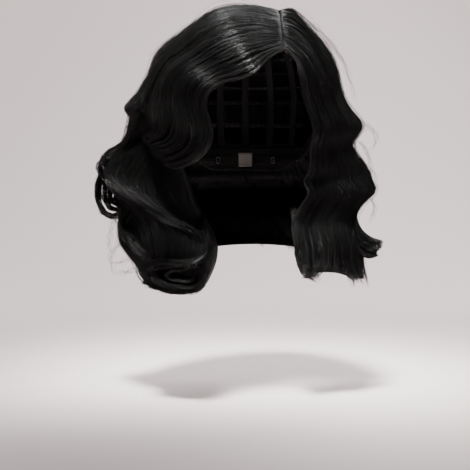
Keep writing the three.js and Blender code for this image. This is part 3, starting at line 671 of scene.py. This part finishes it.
def lock_strands(name, sheet, start, end, rng, count, clumps, ragged=0.06, gather=0.7,
                 inner_share=0.12, stray_share=0.05, mess=1.0):
    """The loose fibres of a lock, gathered into clumps and twigs that follow the flow."""
    twigs = clumps * TWIGS_IN_CLUMP
    places = np.linspace(0, 1, FIBRE_STEPS)
    width = (end - start) / clumps
    fade = np.interp(places, [0, 0.12, 1], [0, 1, 1])[None, :]
    centre = start + width * (np.arange(clumps) + 0.5 + rng.uniform(-0.25, 0.25, clumps))
    clump = rng.integers(0, clumps, count)
    twig = clump * TWIGS_IN_CLUMP + rng.integers(0, TWIGS_IN_CLUMP, count)
    offset = rng.uniform(-0.6, 0.6, twigs)[twig] + rng.normal(0, 0.12, count)

    def wobble(knots, clump_size, twig_size, fibre_size):
        """Clumps, twigs and single fibres wander, each more finely than the last."""
        return (wander(rng, clumps, places, knots, clump_size)[clump]
                + wander(rng, twigs, places, 9, twig_size)[twig] * mess
                + wander(rng, count, places, 12, fibre_size) * mess) * fade

    drift = wobble(6, 0.22 * width, 0.09 * width, 0.03 * width)
    closing = np.interp(places, [0, 0.12, 0.7, 1], [1.25, 1.1, 1.0, gather])
    across = centre[clump][:, None] + drift + offset[:, None] * width * closing[None, :]
    across = sheet.width - np.abs(sheet.width - np.abs(across))
    ends = 1 - rng.uniform(0, ragged, clumps)[clump]
    ends *= 1 - rng.uniform(0, ragged * 0.6, twigs)[twig]
    ends *= 1 - rng.uniform(0, ragged * 0.6, count)
    along = places[None, :] * ends[:, None]

    full = sheet.depth(across, along)
    border = np.minimum(across, sheet.width - across) / 0.16
    turn_under = np.clip(1 - border, 0, 1) ** 2 * np.minimum(3.5 * MM, full * 0.4)
    buried = (rng.exponential(0.7 * MM, count) + rng.uniform(0, 1.4 * MM, twigs)[twig]
              + offset ** 2 * 2.2 * MM)
    depth = np.minimum(buried[:, None], full * 0.7) + turn_under
    depth += wobble(7, 0.45 * MM, 0.22 * MM, 0.18 * MM)
    inside = rng.uniform(0, 1, count) < inner_share
    inner_depth = full * (0.97 - 0.2 * rng.uniform(0, 1, count)[:, None])
    depth = np.where(inside[:, None], inner_depth, depth)
    stray = (rng.uniform(0, 1, count) < stray_share) & ~inside
    lift = np.abs(wander(rng, count, places, 7, STRAY_LIFT)) * fade
    depth = np.where(stray[:, None], depth * 0.3 - lift, depth)
    depth += ROOT_DIVE * np.clip(1 - along / 0.05, 0, 1) ** 2

    paths = sheet.point(across, along, depth)
    facing = sheet.look_up(sheet.inward, across, along)
    taper = np.interp(places, [0, 0.04, 0.82, 1], [0.5, 1, 0.9, 0.15])
    radii = FIBRE_RADIUS * rng.uniform(0.75, 1.2, count)
    radii = np.where(stray, radii * 0.6, radii)[:, None] * taper[None, :]
    tint = 0.35 + rng.normal(0, 0.14, twigs)[twig] + rng.normal(0, 0.22, count)
    tint = np.clip(tint, 0, 1)[:, None]
    return tube_mesh(name + "_strands", paths, radii, facing, HAIR, tint)


def guided_strands(name, guides, count, spread, ragged, thin=1.0, tresses=0, tress_wave=0.0):
    """Fibres along given guides. Each fibre keeps its place between two guides.

    With tresses, the fibres gather in that many waved groups.
    """
    rng = piece_rng(name)
    guides = np.stack(guides, axis=1)
    place = rng.uniform(0, 1, count)
    if tresses:
        group = rng.integers(0, tresses, count)
        centre = rng.uniform(0.04, 0.96, tresses)
        place += (centre[group] - place) * TRESS_GATHER
    share = place[None, :, None] * (guides.shape[1] - 1)
    low = np.minimum(share.astype(int), guides.shape[1] - 2)[0, :, 0]
    part = share - low[None, :, None]
    points = guides[:, low] * (1 - part) + guides[:, low + 1] * part
    dense = spline(points, np.linspace(0, 1, GUIDE_STEPS + 1)).transpose(1, 0, 2)
    places = np.linspace(0, 1, FIBRE_STEPS)
    along = places[None, :] * (1 - rng.uniform(0, ragged, count))[:, None] * GUIDE_STEPS
    step = np.minimum(along.astype(int), GUIDE_STEPS - 1)
    part = (along - step)[..., None]
    row = np.arange(count)[:, None]
    paths = dense[row, step] * (1 - part) + dense[row, step + 1] * part
    for axis in range(3):
        paths[..., axis] += wander(rng, count, places, 7, spread)
        if tresses:
            paths[..., axis] += wander(rng, tresses, places, 11, tress_wave)[group]
    radii = (FIBRE_RADIUS * thin * rng.uniform(0.75, 1.2, count)[:, None]
             * np.interp(places, [0, 0.05, 0.85, 1], [0.6, 1, 0.9, 0.2])[None, :])
    tint = np.clip(rng.normal(0.4, 0.16, count), 0, 1)[:, None]
    return tube_mesh(name, paths, radii, inward(paths), HAIR, tint)


def build_locks(strands, names, thickness, fullness, count, clumps, relief=None,
                core_end=0.97, **style):
    """Neighbouring locks that share one sheet, side by side."""
    sheet = Sheet(strands, thickness, fullness, relief)
    share = sheet.width / len(names)
    for index, name in enumerate(names):
        rng = piece_rng(name)
        start, end = index * share, (index + 1) * share
        attach(lock_core(name, sheet, start, end, rng, core_end), name)
        attach(lock_strands(name, sheet, start, end, rng, count, clumps, **style), name)


def build_rings():
    for index, points in enumerate(RINGS):
        front = metres(points)
        ring = guided_strands(f"side_curl_lock_ring_{index + 1}", [front, front + RING_REACH],
                              FIBRES_IN_RING, 0.6 * MM, 0.12, tresses=TRESSES_IN_RING,
                              tress_wave=1.2 * MM)
        attach(ring, "side_curl_lock")


def build_curls():
    for name, (count, tress_wave, guides) in CURLS.items():
        guides = [metres(points) for points in guides]
        behind = [points + CURL_REACH for points in guides]
        curl = guided_strands(name, guides + behind[::-1], count, 0.6 * MM, 0.14,
                              tresses=count // FIBRES_IN_TRESS, tress_wave=tress_wave * MM)
        attach(curl, name[:name.index("_lock") + len("_lock")])


def build_flick():
    name = "left_flick_lock"
    sheet = Sheet([metres(FLICK_UPPER), metres(FLICK_LOWER)], FLICK_THICKNESS, [1, 1],
                  relief=[0] * 6, facing=(0, 1, 0))
    rng = piece_rng(name)
    attach(lock_core(name, sheet, 0, 1, rng, 0.93, columns=12, rows=40), name)
    attach(lock_strands(name, sheet, 0, 1, rng, 680, 4, ragged=0.03, gather=0.95,
                        inner_share=0.3), name)


def build_loose_ends():
    for index, points in enumerate(LOOSE_ENDS):
        line = metres(points)
        hairs = guided_strands(f"loose_hairs_{index + 1}", [line, line + LOOSE_REACH], 9,
                               1.6 * MM, 0.5, thin=0.55)
        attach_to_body(hairs, "cap")


def build_hair():
    build_locks(["fringe", "brow", "temple_wave", "side_wave"],
                ["fringe_lock", "brow_wave_lock", "temple_wave_lock", "side_wave_lock"],
                WAVE_THICKNESS, [0.7, 0.8, 0.95, 1], 640, 5, WAVE_RELIEF)
    build_locks(["side_wave", "crest_front", "crest_middle", "crest_rear"],
                ["front_crest_lock", "rear_crest_lock"],
                WAVE_THICKNESS, [1] * 4, 640, 6, CREST_RELIEF)
    build_locks(["jaw", "cheek", "ear", "side_curl"],
                ["jaw_curl_lock", "cheek_curl_lock", "ear_curl_lock", "side_curl_lock"],
                CURL_THICKNESS, [1] * 4, 680, 5, CURL_RELIEF, ragged=0.07,
                stray_share=0.12, mess=2.4)
    build_locks(["right_temple", "right_front", "right_wave", "right"]
                + [back_strand(angle) for angle in (30, 60, 90, 120, 150)] + ["left", "left_tuck"],
                ["left_temple_lock", "left_face_lock", "left_side_lock", "left_back_lock",
                 "nape_left_lock", "nape_middle_lock", "nape_right_lock", "right_back_lock",
                 "right_rear_lock", "right_side_lock"],
                LAYER_THICKNESS, [0.45, 0.6, 0.8, 1, 1, 1, 1, 1, 1, 1, 0.6], 660, 5,
                core_end=0.975, ragged=0.035, gather=0.5)
    build_rings()
    build_curls()
    build_flick()
    build_loose_ends()


# ---- the head-shaped surface

def head_surface(turn, lift, offset):
    """Turn goes round from the wearer's left through the back; lift climbs to 90 degrees."""
    turn, lift, offset = np.broadcast_arrays(np.radians(turn), np.radians(lift),
                                             np.asarray(offset) * MM)
    climb = np.sin(lift)
    height = np.where(climb > 0, HEAD_CROWN_HEIGHT + offset, HEAD_LOWER_HEIGHT)
    return np.stack([(HEAD_HALF_WIDTH + offset) * np.cos(lift) * np.cos(turn),
                     (HEAD_HALF_DEPTH + offset) * np.cos(lift) * np.sin(turn),
                     height * climb], axis=-1)


def mix(low, high, share):
    return low + (high - low) * share


def ease(low, high, value):
    share = np.clip((value - low) / (high - low), 0, 1)
    return share * share * (3 - 2 * share)


def from_front(turn):
    return np.abs((turn + 90 + 540) % 360 - 180)


def hairline(turn):
    return mix(30, -6, ease(25, 66, from_front(turn)))


def net_edge(turn):
    return mix(hairline(turn) + 5.8, 36, ease(66, 95, from_front(turn)))


def front_band_place(across, along):
    turn = mix(-156, -24, along)
    temple = 4.5 * np.exp(-((turn + 52) / 13) ** 2)
    return turn, hairline(turn) + temple + (6.5 - 0.4 * temple) * across


def ear_band_place(across, along):
    turn = mix(-24, 39, along)
    return turn, -7 - 19 * ease(95, 128, from_front(turn)) + 6.5 * across


def nape_band_place(across, along):
    turn = mix(39, 141, along)
    low = -26 - 5 * ease(129, 150, from_front(turn))
    return turn, mix(low, -20, across)


def ear_tab_place(across, along):
    half = 8 * np.sqrt(1 - 0.62 * along ** 2)
    return -22 + mix(-half, half, across), mix(-7.7, -21.8, along)


def parting_place(across, along):
    x = (33 + mix(-4, 4, across)) * MM / HEAD_HALF_WIDTH
    y = mix(-72, 2, along) * MM / HEAD_HALF_DEPTH
    return np.degrees(np.arctan2(y, x)), np.degrees(np.arccos(np.hypot(x, y)))


def ribbon_place(turn, low):
    def place(across, along):
        lift = mix(42, low, along)
        half = np.degrees(5 * MM / (HEAD_HALF_DEPTH * np.cos(np.radians(lift))))
        return turn + mix(-half, half, across), lift
    return place


def row_place(start, end, low, high):
    """A strip round the head from one turn to another."""
    return lambda across, along: (mix(start, end, along), mix(low, high, across) + 0 * along)


def side_weft_place(index):
    lift = (22, 13)[index]

    def place(across, along):
        return mix(-34 + 6 * index, 4, along), lift + 12 * along + 2 * (across - 0.5)
    return place


def mirrored(place):
    def other(across, along):
        turn, lift = place(across, along)
        return 180 - turn, lift
    return other


SIDES = {"left": lambda place: place, "right": mirrored}


def stretch_ends(side, turns, lifts, offset):
    """The two points between which a piece passes from the cap to a moving body."""
    turns = np.array(turns) if side == "left" else 180 - np.array(turns)
    return [Vector(point) for point in head_surface(turns, np.array(lifts), offset)]


# ---- cap pieces

def strip(name, place, columns, rows, inside, outside, material, relief=None):
    """A cloth strip on the head. place turns (across, along), 0 to 1, into turn and lift."""
    across, along = np.broadcast_arrays(np.linspace(0, 1, columns + 1)[:, None],
                                        np.linspace(0, 1, rows + 1)[None, :])
    turn, lift = place(across, along)
    border = np.minimum(np.minimum(across, 1 - across) * columns,
                        np.minimum(along, 1 - along) * rows)
    rounding = np.clip(1 - border / 1.6, 0, 1) ** 2 * 0.38 * (outside - inside)
    rise = relief(across, along) if relief else 0
    outer = head_surface(turn, lift, outside - rounding + rise)
    inner = head_surface(turn, lift, inside + rounding - rise)
    return slab_mesh(name, outer, inner, material)


def edge_rolls(across, inset, reach):
    """A rounded ridge along either edge of a strip."""
    return (np.exp(-((across - inset) / reach) ** 2)
            + np.exp(-((across - 1 + inset) / reach) ** 2))


def hems(across, along):
    """Rolled edges, slightly puckered by the stitching."""
    rolls = edge_rolls(across, 0.1, 0.06)
    return 0.22 * rolls + 0.06 * np.sin(along * 260) * rolls


def selvedges(across, along):
    """A corded edge on either side of a ribbon."""
    cord = edge_rolls(across, 0.05, 0.04)
    return 0.2 * cord * (1 + 0.5 * np.sin(along * 180)) + 0.03 * np.sin(along * 400)


def ribs(count):
    return lambda across, along: 0.2 * np.abs(np.sin(np.pi * count * across))


def threads(name, turn, lift, offset, radius, material, sides):
    """Threads that follow the head: one row of turn, lift and offset for each."""
    paths = head_surface(turn, lift, offset)
    facing = unit(head_surface(turn, lift, offset - 1) - paths)
    radii = np.broadcast_to(radius * MM, paths.shape[:2])
    return tube_mesh(name, paths, radii, facing, material, sides=sides)


def stitches(name, place, lines, count, swing, *faces):
    """Threads arched over a strip, along the lines. A face is its (offset, side)."""
    share = np.linspace(0.05, 0.95, 6)[None, :]
    edges = np.linspace(0.012, 0.988, count + 1)
    along = edges[:-1, None] * (1 - share) + edges[1:, None] * share
    sign = np.where(np.arange(count) % 2, 1, -1)[:, None]
    rows = []
    for offset, side in faces:
        height = offset + side * (0.34 * np.sin(share * np.pi) - 0.1)
        for line in lines:
            turn, lift = place(line + swing * sign * (2 * share - 1), along)
            rows.append(np.broadcast_arrays(turn, lift, height))
    turn, lift, height = (np.concatenate(part) for part in zip(*rows))
    return threads(name, turn, lift, height, STITCH_RADIUS, THREAD, 5)


def cords(name, place, lines, offset, radius, steps):
    """Twisted threads that run the length of a strip."""
    across, along = np.broadcast_arrays(np.array(lines)[:, None],
                                        np.linspace(0.004, 0.996, steps)[None, :])
    twisted = radius * (1 + 0.16 * np.sin(along * steps * 2.1))
    return threads(name, *place(across, along), offset, twisted, THREAD, 6)


def crown_grid(u, v):
    """Turn and lift for a square panel, corner first, stretched over the crown."""
    x = u * np.sqrt(1 - v ** 2 / 2)
    y = v * np.sqrt(1 - u ** 2 / 2)
    turn = np.degrees(np.arctan2(y, x)) + 45
    return turn, 90 - np.hypot(x, y) * (90 - net_edge(turn))


def build_crown():
    turn, lift = crown_grid(*np.meshgrid(np.linspace(-1, 1, 81), np.linspace(-1, 1, 81),
                                         indexing="ij"))
    lace = slab_mesh("crown_lace", head_surface(turn, lift, 0.7), head_surface(turn, lift, 0.3),
                     LACE)
    attach(lace, "crown_net")
    lines, steps = 72, 60
    one, other = np.broadcast_arrays(np.linspace(-0.985, 0.985, lines)[:, None],
                                     np.linspace(-0.99, 0.99, steps)[None, :])
    weave = 0.14 * np.cos(np.arange(lines)[:, None] * np.pi + np.arange(steps)[None, :] * 2.4)
    turn, lift = crown_grid(np.concatenate([one, other]), np.concatenate([other, one]))
    net = threads("crown_net_threads", turn, lift, 0.2 + np.concatenate([weave, -weave]), 0.16,
                  NET_THREAD, 4)
    attach(net, "crown_net")
    attach(strip("parting_film", parting_place, 10, 90, 1.25, 1.8, SKIN,
                 lambda a, b: 0.05 * np.sin(a * 40) * np.sin(b * 300)), "parting_strip")
    attach(stitches("parting_knots", parting_place, np.linspace(0.1, 0.9, 7), 46, 0.03, (1.8, 1)),
           "parting_strip")
    return lace, net


def build_hemmed_band(node, place, rows, count):
    attach(strip(node + "_tape", place, 30, rows, 0, 1, BAND, hems), node)
    attach(stitches(node + "_stitches", place, (0.17, 0.83), count, 0.05, (0, -1)), node)


def build_bands():
    build_hemmed_band("front_band", front_band_place, 260, 110)
    attach(strip("nape_elastic", nape_band_place, 64, 240, 0, 1, ELASTIC, ribs(14)), "nape_band")
    attach(stitches("nape_stitches", nape_band_place, (0.06, 0.94), 84, 0.03, (-0.1, -1)),
           "nape_band")
    for side, turned in SIDES.items():
        build_hemmed_band(f"ear_band_{side}", turned(ear_band_place), 120, 48)


def build_ear_tabs():
    for side, turned in SIDES.items():
        tab, stay = f"ear_tab_{side}", f"ear_stay_{side}"
        place = turned(ear_tab_place)
        attach(strip(tab + "_cloth", place, 30, 40, 0, 1, BAND, hems), tab, tab)
        attach(stitches(tab + "_stitches", place, (0.14, 0.86), 12, 0.02, (1, 1), (0, -1)),
               tab, tab)
        upright = turned(lambda across, along: (mix(-23.4, -20.6, across), mix(-9.1, -20.4, along)))
        attach(strip(stay + "_strip", upright, 10, 40, 1.35, 2.2, COATED,
                     lambda a, b: 0.12 * np.sin(np.pi * a)), stay, tab)
        attach(stitches(stay + "_ties", turned(row_place(-25, -19, -20.0, -9.5)),
                        np.linspace(0.06, 0.94, 7), 1, 0.0, (2.2, 1)), stay, tab)
        fold = strip(tab + "_fold", turned(row_place(-28.5, -15.5, -9.0, -6.0)), 14, 30,
                     1.05, 1.4, RIBBON, selvedges)
        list(stretch_ends(side, (-22, -22), (-7.0, -8.2), 1))
        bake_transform(fold)


def build_ribbons():
    pieces = [(f"back_ribbon_{i + 1}", ribbon_place(turn, -28), 150)
              for i, turn in enumerate(RIBBON_TURNS)]
    pieces += [("side_ribbon_left", ribbon_place(14, -8), 110),
               ("side_ribbon_right", ribbon_place(166, -8), 110)]
    for node, place, rows in pieces:
        attach(strip(node + "_weave", place, 24, rows, 1.5, 2.3, RIBBON, selvedges), node)
        attach(stitches(node + "_stitches", place, (0.14, 0.86), 40, 0.02, (1.5, -1)), node)


def weft_hair(name, place, rng, count, start):
    """Fibres folded over the stitched weft that hang from it."""
    share = rng.uniform(0.004, 0.996, count)[:, None]
    steps = np.linspace(0, 1, 12)[None, :]
    turn, lift = place(0.5 + 0 * share, share)
    fall = WEFT_DROP * rng.uniform(0.8, 1.1, count)[:, None]
    lift = lift + 1.4 * np.sin(np.minimum(steps * 6, 1) * np.pi) - fall * steps
    turn = turn + wander(rng, count, steps[0], 5, 0.35)
    out = start + 0.9 * np.minimum(steps * 4, 1) + rng.uniform(0, 1.6, count)[:, None] * steps
    paths = head_surface(turn, lift, out)
    radii = FIBRE_RADIUS * rng.uniform(0.7, 1, count)[:, None] * np.interp(
        steps, [0, 0.7, 1], [1, 1, 0.4])
    tint = np.clip(rng.normal(0.4, 0.2, count), 0, 1)[:, None]
    return tube_mesh(name, paths, radii, inward(paths), HAIR, tint)


def build_wefts():
    pieces = [(f"weft_row_{i + 1}", row_place(start, 180 - start, lift - 1, lift + 1), 200, 330,
               BACK_WEFT_INSIDE) for i, (lift, start) in enumerate(WEFT_ROWS)]
    pieces += [(f"side_weft_{index + 1}_{side}", turned(side_weft_place(index)), 60, 110,
                SIDE_WEFT_INSIDE) for index in (0, 1) for side, turned in SIDES.items()]
    for node, place, length, fibres, inside in pieces:
        attach(strip(node + "_fold", place, 10, length, inside, inside + 1.3, THREAD,
                     lambda a, b: 0.16 * np.sin(np.pi * a)), node)
        attach(cords(node + "_threads", place, (0.12, 0.5, 0.88), inside - 0.12, 0.24,
                     length * 3 // 2), node)
        attach(weft_hair(node + "_hair", place, piece_rng(node), fibres, inside + 1.2), node)


def build_loop_tape(side, turned):
    tape = f"loop_tape_{side}"
    place = turned(row_place(51, 80, -28, -24))
    attach(strip(tape + "_weave", place, 20, 90, -1.3, -0.5, RIBBON, selvedges), tape)
    across, along = np.broadcast_arrays(np.linspace(0.1, 0.9, 12)[None, :],
                                        np.linspace(0.06, 0.94, 9)[:, None])
    height = -1.12 - 0.25 * np.sin((across - 0.1) / 0.8 * np.pi) ** 0.5
    attach(threads(tape + "_loops", *place(across, along), height, 0.18, THREAD, 6), tape)


def build_strap(side, turned):
    node = f"adjuster_strap_{side}"
    strap = strip(node + "_elastic", turned(row_place(40, 62.9, -27, -25)), 24, 90, -2.6, -1.8,
                  ELASTIC, ribs(6))
    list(stretch_ends(side, (44.0, 61.5), (-26.0, -26.0), -2.2))
    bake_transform(strap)
    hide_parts(node)
    attach(stitches(node + "_stitches", turned(row_place(40.4, 42.4, -27, -25)),
                    (0.2, 0.5, 0.8), 3, 0.08, (-2.6, -1)), node)


def build_hook(side):
    wire = spline(np.array(HOOK_WIRE)[:, None, :], np.linspace(0, 1, HOOK_STEPS))[:, 0]
    turn = wire[:, 0] if side == "left" else 180 - wire[:, 0]
    paths = head_surface(turn, wire[:, 1], wire[:, 2])[None]
    facing = unit(np.broadcast_to(np.array([0.0, 0.1, 1.0]), paths.shape))
    hook = tube_mesh(f"adjuster_hook_{side}_wire", paths, np.full((1, HOOK_STEPS), 0.34 * MM),
                     facing, STEEL, sides=10)
    attach(hook, f"adjuster_hook_{side}", f"adjuster_{side}")


def build_label():
    place = row_place(84, 96, -29, -22.5)
    attach(strip("care_label_tape", place, 36, 48, -1.25, -0.55, LABEL,
                 lambda a, b: 0.2 * edge_rolls(a, 0.05, 0.05) + 0.04 * np.sin(b * 9)), "care_label")
    attach(stitches("care_label_stitches", place, (0.1, 0.9), 11, 0.0, (-1.35, -1)), "care_label")


def build_cap():
    lace, net = build_crown()
    build_bands()
    build_ear_tabs()
    build_ribbons()
    build_wefts()
    for side, turned in SIDES.items():
        build_loop_tape(side, turned)
        build_strap(side, turned)
        build_hook(side)
    build_label()


# ---- stage

def aimed(name, data, place, target):
    """Puts a light or the camera at its place and aims it."""
    obj = link_object(name, data)
    obj.location = place
    obj.rotation_euler = (Vector(target) - Vector(place)).to_track_quat("-Z", "Y").to_euler()
    return obj


def build_backdrop():
    """A floor that curves up into a wall."""
    floor_material = node_material("pale_floor", (0.84, 0.735, 0.73), 0.85)[0]
    half_width = 3.0
    front, back = -2.2, 0.9
    bend, height = 0.6, 2.4
    profile = [(front, 0.0), (back, 0.0)]
    profile += [(back + bend * math.sin(a), bend - bend * math.cos(a))
                for a in np.linspace(0, math.pi / 2, 13)[1:]]
    profile.append((back + bend, height))
    verts = [(x, y, FLOOR_Z + z) for y, z in profile for x in (-half_width, half_width)]
    quads = np.array([(2 * i, 2 * i + 1, 2 * i + 3, 2 * i + 2) for i in range(len(profile) - 1)])
    make_mesh("backdrop", verts, [quads], floor_material)


def build_stage():
    camera = bpy.data.cameras.new("camera")
    camera.lens = CAMERA_LENS
    camera.sensor_width = CAMERA_SENSOR
    bpy.context.scene.camera = aimed("camera", camera, CAMERA_PLACE, CAMERA_TARGET)
    for name, (place, target, size, power, spread) in LIGHTS.items():
        light = bpy.data.lights.new(name, "AREA")
        light.shape = "RECTANGLE"
        light.size, light.size_y = size
        light.energy = power
        light.spread = math.radians(spread)
        aimed(name, light, place, target)
    world = bpy.data.worlds.new("studio")
    world.use_nodes = True
    world.node_tree.nodes["Background"].inputs["Color"].default_value = (0.87, 0.86, 0.89, 1)
    world.node_tree.nodes["Background"].inputs["Strength"].default_value = 0.16
    bpy.context.scene.world = world
    build_backdrop()


build_stage()
build_hair()
build_cap()
